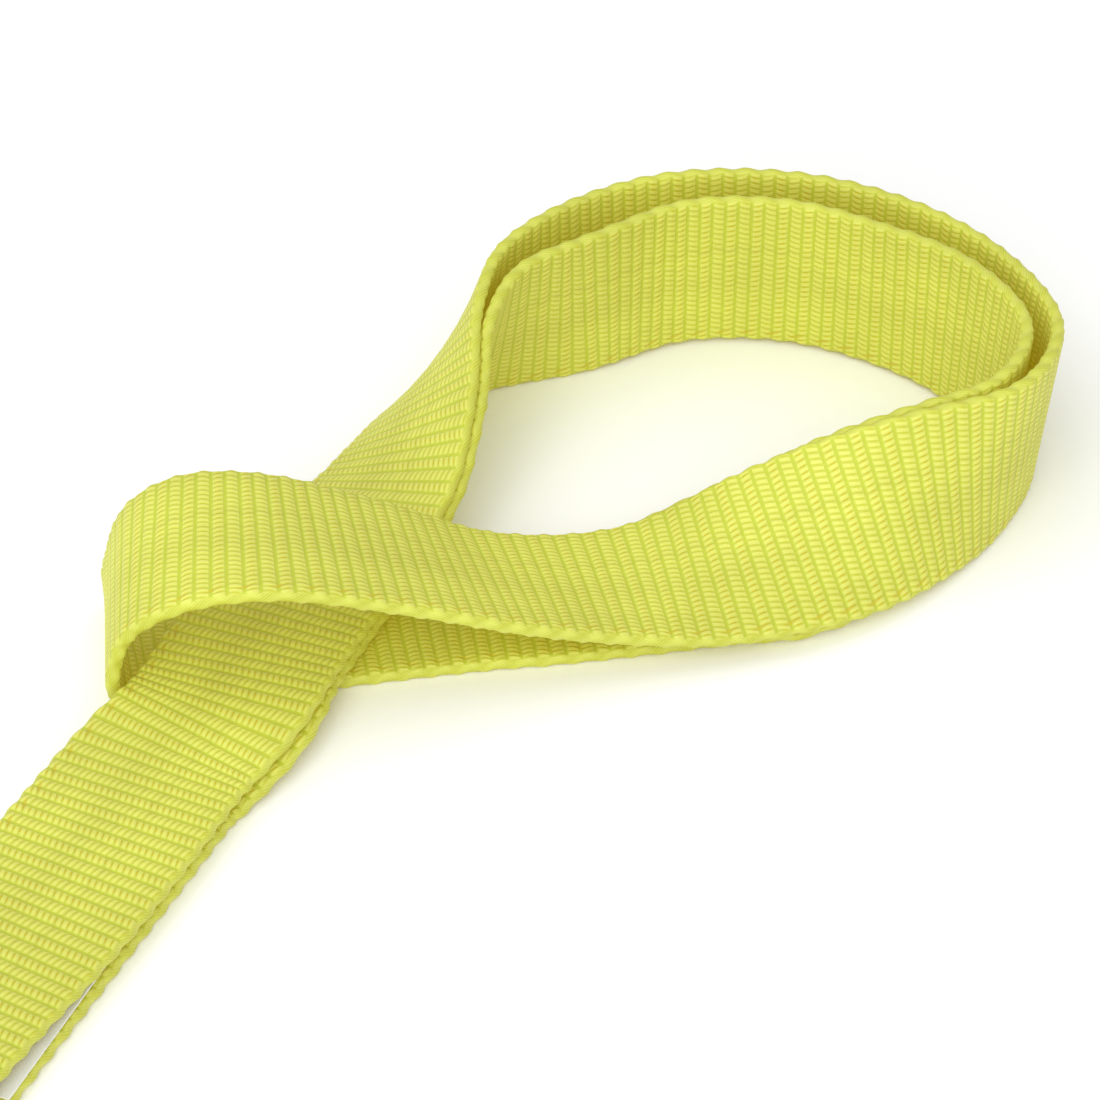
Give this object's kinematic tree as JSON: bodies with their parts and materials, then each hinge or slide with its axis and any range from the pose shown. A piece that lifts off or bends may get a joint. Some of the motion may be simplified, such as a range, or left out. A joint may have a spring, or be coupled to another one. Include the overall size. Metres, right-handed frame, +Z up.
{
  "type": "round sling",
  "caption": "Short endless lifting sling of flat woven webbing, choked through its own end loop and laid on a surface.",
  "frame": {"origin": "middle of the sling's box, on the surface it lies on", "axes": "+Z up from the surface, +Y from the far loop towards the open eye, +X to the right of somebody who looks along +Y"},
  "size_m": [0.253, 0.3438, 0.0309],
  "materials": {
    "webbing": "satin, heavy warp-faced woven polyester webbing, lime yellow",
    "label": "matt coated white label tape",
    "thread": "satin polyester sewing thread, lime yellow"
  },
  "bodies": {
    "root": {"tail_upper_ply": "webbing", "twist_upper_ply": "webbing", "eye_outer_back": "webbing", "eye_outer_end": "webbing", "eye_outer_front": "webbing", "choke_over_tail": "webbing", "choke_end_turn": "webbing", "choke_under_tail": "webbing", "eye_inner_front": "webbing", "eye_inner_end": "webbing", "eye_inner_back": "webbing", "twist_lower_ply": "webbing", "tail_lower_ramp": "webbing", "tail_lower_ply": "webbing", "far_loop": "webbing", "lap_lower_layer": "webbing", "lap_upper_layer": "webbing", "label": "label", "lap_stitching_top": "thread", "lap_stitching_bottom": "thread"}
  },
  "joints": []
}
